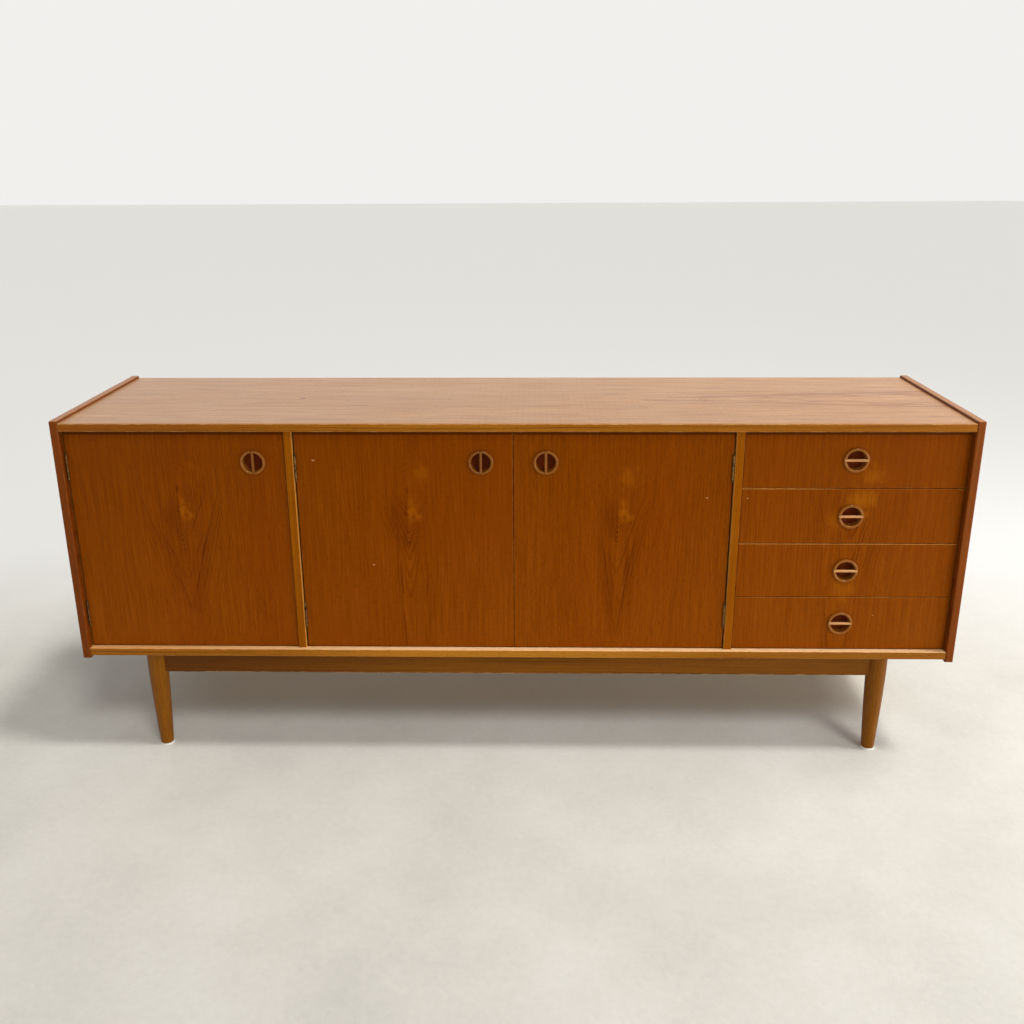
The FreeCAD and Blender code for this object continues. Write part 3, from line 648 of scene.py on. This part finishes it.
def paint_carcass():
    for side, sign in (("left", -1), ("right", 1)):
        inner = [
            ("x", sign * (INSIDE_X + 0.0003), -sign), ("y", DOOR_FACE_Y + 0.001, 1),
            ("z", PLINTH_Z, 1), ("z", CEILING_Z, -1),
        ]
        node = "side_panel_" + side
        # Painted light: the side panels' top faces are painted pale, as lit from above.
        tint = painted_lit_top(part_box(node)[1].z - 0.0008, 0.8)
        seed = 1.3 + sign * 2
        paint_wood(node, "z", EDGE, pith=(0.0, -0.35), wander=0.09, seed=seed, tint=tint, inner=inner)
    put_on("top_board", top_veneer("top_board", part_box("top_board")))
    inner = [("z", PLINTH_Z - 0.001, 1)]
    paint_wood("bottom_board", "x", TEAK, pith=(0.0, 0.45), seed=9.0, tint=painted_highlight_shelf, inner=inner)
    paint_wood("top_lipping", "x", SOLID, pith=(-0.29, 0.74), wander=0.02, seed=4.0, tint=upper_lip_painted_light)
    paint_wood("bottom_lipping", "x", SOLID, pith=(-0.30, 0.31), wander=0.02, seed=6.5, tint=lower_lip_painted_light)
    for node in ("divider_left", "divider_right"):
        paint_wood(node, "z", TEAK, pith=(0.4, 0.1), seed=3.0, inner=[("y", DOOR_FACE_Y, 1)])
    node = "divider_lippings"
    put_on(node, solid_wood(node, "z", DIVIDER, pith=(0.1, -0.30), wander=0.03, seed=8.0, tint=painted_arris_highlight))
    for index, node in enumerate(("shelf_left", "shelf_middle")):
        paint_wood(node, "x", BEECH, pith=(0.0, 0.7), seed=index * 2.0)
    paint_wood("back_panel", "x", BACK, pith=(0.4, 0.5), wander=0.25, seed=1.0)
    for name in DRAWERS:
        put_on(name + "_box", solid_wood(name + "_box", "y", BEECH, pith=(0.7, 0.2), seed=2.5))
        bottom = name + "_bottom"
        put_on(bottom, solid_wood(bottom, "x", PLY, pith=(0.0, 0.2), wander=0.2, seed=3.5))
    put_on("drawer_runners", solid_wood("drawer_runners", "y", BEECH, seed=5.5))


def painted_shade_ends(graph, shades):
    # Painted shade: the rails are painted darker towards both ends, most at the left.
    shades = graph.mix((1.0 - graph.smooth(graph.x, -0.75, -0.1)) * 0.6, shades, "#421c00")
    return graph.mix(graph.smooth(graph.x, 0.2, 0.8) * 0.35, shades, "#4a2200")


def paint_base():
    for node in ("rail_front", "rail_rear"):
        paint_wood(node, "x", BASE, pith=(-0.25, 0.12), wander=0.05, seed=len(node), tint=painted_shade_ends)
    for node in ("rail_left", "rail_right"):
        paint_wood(node, "y", BASE, pith=(0.1, 0.12), seed=len(node))
    for index, node in enumerate(("leg_front_left", "leg_front_right", "leg_rear_left", "leg_rear_right")):
        low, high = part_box(node)
        pith = ((low.x + high.x) / 2 + 0.05, (low.y + high.y) / 2 - 0.03)
        put_on(node, solid_wood(node, "z", BASE, pith=pith, wander=0.03, seed=index * 1.9))


def paint_pulls():
    """A polished lip round a bowl painted dark, partly as painted shade in its hollow, and a polished bar,
    painted pale on the drawers as lit from above.
    """
    for name in DOORS + DRAWERS:
        node = name + "_pull_ring"
        low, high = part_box(node)
        middle = (low + high) / 2
        pith = (middle.x + 0.05, middle.y)
        lip = solid_wood(node, "z", PULL, pith=pith, seed=middle.x * 9)
        bowl = solid_wood(name + "_pull_bowl", "z", BOWL, pith=pith, seed=middle.x * 9)
        put_on(node, lip, bowl)
        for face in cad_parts[node].data.polygons:
            reach = math.hypot(face.center.x - middle.x, face.center.z - middle.z)
            face.material_index = int(reach < BOWL_REACH)
        along, look = ("z", UPRIGHT_BAR) if name in DOORS else ("x", LIT_LEVEL_BAR)
        put_on(name + "_pull_bar", solid_wood(name + "_pull_bar", along, look, seed=middle.x * 5))


def paint_fittings():
    brass = metal("brass", {"clean": "#806038", "dull": "#3c2c1a", "rough": 0.38})
    steel = metal("steel", {"clean": "#b9b4aa", "dull": "#7e7972", "rough": 0.32})
    white = plastic("white_plastic", {"clean": "#f4f2ec", "aged": "#e6e1d6", "scuff": "#b4ac9e"})
    for name in DOORS:
        put_on(name + "_hinge_leaves", brass)
    for node in ("hinge_wall_leaves", "hinge_pins", "shelf_pins"):
        put_on(node, brass)
    for node in ("back_panel_screws", "base_screws"):
        put_on(node, steel)
    for node in ("floor_glides", "door_catches"):
        put_on(node, white)
    return brass, steel


# ---- pieces ----
def raise_outline(mesh, points, inset, out):
    """A closed plate from a flat outline: straight sides, and its top pulled in by a part of its size."""
    middle = sum(points, Vector()) / len(points)
    low = [mesh.verts.new(point) for point in points]
    high = [mesh.verts.new(middle + (point - middle) * (1.0 - inset) + out) for point in points]
    mesh.faces.new(reversed(low))
    mesh.faces.new(high)
    for index in range(len(points)):
        after = (index + 1) % len(points)
        mesh.faces.new((low[index], low[after], high[after], high[index]))


def add_screw(mesh, centre, out, turn):
    """A slotted flat head: two half discs with the slot between them."""
    across = out.orthogonal().normalized()
    across.rotate(Matrix.Rotation(turn, 3, out))
    up = out.normalized().cross(across)
    start = math.asin(SCREW_SLOT / 2 / SCREW_RADIUS)
    for sign in (1, -1):
        points = []
        for step in range(SCREW_ARC_STEPS + 1):
            angle = start + (math.pi - 2 * start) * step / SCREW_ARC_STEPS
            points.append(centre + (across * math.cos(angle) + up * math.sin(angle)) * SCREW_RADIUS * sign)
        raise_outline(mesh, points, SCREW_TAPER, out * SCREW_RISE)


def add_strike(mesh, centre, out):
    """A thin plate with round corners, lying in an x-z plane."""
    points = []
    for turn, (sx, sz) in enumerate(((1, 1), (-1, 1), (-1, -1), (1, -1))):
        corner = Vector((sx * (STRIKE_HALF[0] - STRIKE_CORNER), 0, sz * (STRIKE_HALF[1] - STRIKE_CORNER)))
        for step in range(STRIKE_CORNER_STEPS + 1):
            angle = math.radians(90 * (turn + step / STRIKE_CORNER_STEPS))
            points.append(centre + corner + Vector((math.cos(angle), 0, math.sin(angle))) * STRIKE_CORNER)
    raise_outline(mesh, list(reversed(points)), STRIKE_TAPER, out * STRIKE_THICK)


def make_piece(name, mesh, body, material):
    bmesh.ops.recalc_face_normals(mesh, faces=mesh.faces)
    data = bpy.data.meshes.new(name)
    mesh.to_mesh(data)
    mesh.free()
    piece = bpy.data.objects.new(name, data)
    bpy.context.scene.collection.objects.link(piece)
    put_on(piece, material)
    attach(piece, body)


def leaf_screws(mesh, face_x, out_x, middle_y):
    """The six screws of a door's two hinge leaves on one side."""
    for hinge, height in enumerate(HINGE_HEIGHTS):
        for index, (along, across) in enumerate(SCREW_STEPS):
            centre = Vector((face_x, middle_y + across, height + along))
            turn = SCREW_TURNS[0] + SCREW_TURNS[1] * index + hinge
            add_screw(mesh, centre, Vector((out_x, 0, 0)), turn)


def add_pieces(brass, steel):
    on_walls = bmesh.new()
    for name in DOORS:
        low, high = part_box(name + "_panel")
        middle_y = (DOOR_FACE_Y + DOOR_BACK_Y) / 2
        at_left = name != "door_middle_right"
        out = -1 if at_left else 1
        edge = low.x if at_left else high.x
        free = high.x if at_left else low.x

        on_door = bmesh.new()
        leaf_screws(on_door, edge + out * LEAF_THICK, out, middle_y)
        make_piece(name + "_hinge_screws", on_door, name, brass)
        leaf_screws(on_walls, edge + out * (HINGE_GAP - LEAF_THICK), -out, middle_y)

        plate = bmesh.new()
        centre = Vector((free + out * STRIKE_FROM_EDGE, DOOR_BACK_Y, CEILING_Z - STRIKE_DROP))
        add_strike(plate, centre, Vector((0, 1, 0)))
        make_piece(name + "_strike_plate", plate, name, steel)
    make_piece("wall_hinge_screws", on_walls, "carcass", brass)


# ---- room ----
def floor_material():
    """Pale grey screed that turns white away from the sideboard, with a warm painted shadow under it."""
    graph = Graph("floor")
    cloud = graph.noise(graph.x * 2.2, graph.y * 2.2, 0.0, 5.0, 0.62)
    speck = graph.noise(graph.x * 70, graph.y * 70, 3.0, 3.0, 0.7)
    tone = cloud * 0.75 + speck * 0.25
    shades = graph.ramp(tone, [(0.32, "#cdcbc2"), (0.5, "#d9d6cd"), (0.68, "#e2e0d8")])
    # Painted shade: the floor under the sideboard is painted darker and warmer, as a shadow with bounced
    # light from the wood.
    painted_shade_beneath = 1.0 - graph.smooth(graph.math("ABSOLUTE", graph.x), 0.70, 1.10)
    painted_shade_beneath = painted_shade_beneath * (1.0 - graph.smooth(graph.math("ABSOLUTE", graph.y - 0.13), 0.10, 0.24))
    shades = graph.mix(painted_shade_beneath * 0.6, shades, "#bfae8a")
    far = graph.smooth(graph.length(graph.x * 0.5, graph.y + 0.6), 0.9, 2.0)
    shades = graph.mix(far, shades, "#efeeeb")
    return graph.finish(shades, 0.75 + (speck - 0.5) * 0.2, speck, 0.0006, Specular_IOR_Level=0.2)


def make_floor():
    corners = [(x * FLOOR_HALF, y * FLOOR_HALF, 0) for x, y in ((-1, -1), (1, -1), (1, 1), (-1, 1))]
    mesh = bpy.data.meshes.new("floor")
    mesh.from_pydata(corners, [], [(0, 1, 2, 3)])
    floor = bpy.data.objects.new("floor", mesh)
    bpy.context.scene.collection.objects.link(floor)
    mesh.materials.append(floor_material())


def make_sun(name, sun):
    data = bpy.data.lights.new(name, "SUN")
    data.energy = sun["strength"]
    data.angle = math.radians(sun["angle"])
    data.color = SUN_COLOUR
    lamp = bpy.data.objects.new(name, data)
    lamp.rotation_mode = "QUATERNION"
    lamp.rotation_quaternion = Vector(sun["from"]).to_track_quat("Z", "Y")
    bpy.context.scene.collection.objects.link(lamp)


def make_lamp(name, look):
    data = bpy.data.lights.new(name, "AREA")
    data.energy = look["watts"]
    data.shape = "RECTANGLE"
    data.size, data.size_y = look["size"]
    lamp = bpy.data.objects.new(name, data)
    lamp.location = look["place"]
    lamp.visible_camera = False
    lamp.rotation_mode = "QUATERNION"
    lamp.rotation_quaternion = (Vector(look["place"]) - Vector(look["towards"])).to_track_quat("Z", "Y")
    bpy.context.scene.collection.objects.link(lamp)


def make_world():
    """White walls all round up to about head height, and a dimmer ceiling."""
    world = bpy.data.worlds.new("studio")
    bpy.context.scene.world = world
    world.use_nodes = True
    tree = world.node_tree
    tree.nodes.clear()
    place = tree.nodes.new("ShaderNodeTexCoord")
    split = tree.nodes.new("ShaderNodeSeparateXYZ")
    height = tree.nodes.new("ShaderNodeMapRange")
    height.interpolation_type = "SMOOTHSTEP"
    height.inputs["From Min"].default_value, height.inputs["From Max"].default_value = CEILING_FADE
    mix = tree.nodes.new("ShaderNodeMix")
    mix.data_type = "RGBA"
    mix.inputs[6].default_value = (*BACKDROP, 1)
    mix.inputs[7].default_value = (*CEILING, 1)
    glow = tree.nodes.new("ShaderNodeBackground")
    output = tree.nodes.new("ShaderNodeOutputWorld")
    tree.links.new(place.outputs["Generated"], split.inputs[0])
    tree.links.new(split.outputs[2], height.inputs["Value"])
    tree.links.new(height.outputs[0], mix.inputs[0])
    tree.links.new(mix.outputs[2], glow.inputs["Color"])
    tree.links.new(glow.outputs[0], output.inputs[0])


def make_camera():
    data = bpy.data.cameras.new("camera")
    data.sensor_width = 36.0
    data.lens = CAMERA_LENS
    data.shift_y = CAMERA_SHIFT
    data.clip_start, data.clip_end = CAMERA_CLIP
    camera = bpy.data.objects.new("camera", data)
    turns = Matrix.Rotation(math.radians(CAMERA_TURN), 4, "Z")
    turns = turns @ Matrix.Rotation(math.radians(CAMERA_TILT), 4, "X")
    turns = turns @ Matrix.Rotation(math.radians(CAMERA_ROLL), 4, "Z")
    camera.matrix_world = Matrix.Translation(CAMERA_PLACE) @ turns
    bpy.context.scene.collection.objects.link(camera)
    bpy.context.scene.camera = camera


make_camera()
make_world()
make_sun("overhead_sun", OVERHEAD)
make_sun("frontal_sun", FRONTAL)
for name, look in LAMPS.items():
    make_lamp(name, look)
make_floor()
paint_fronts()
paint_carcass()
paint_base()
paint_pulls()
brass, steel = paint_fittings()
add_pieces(brass, steel)
bpy.context.scene.view_settings.view_transform = "Standard"
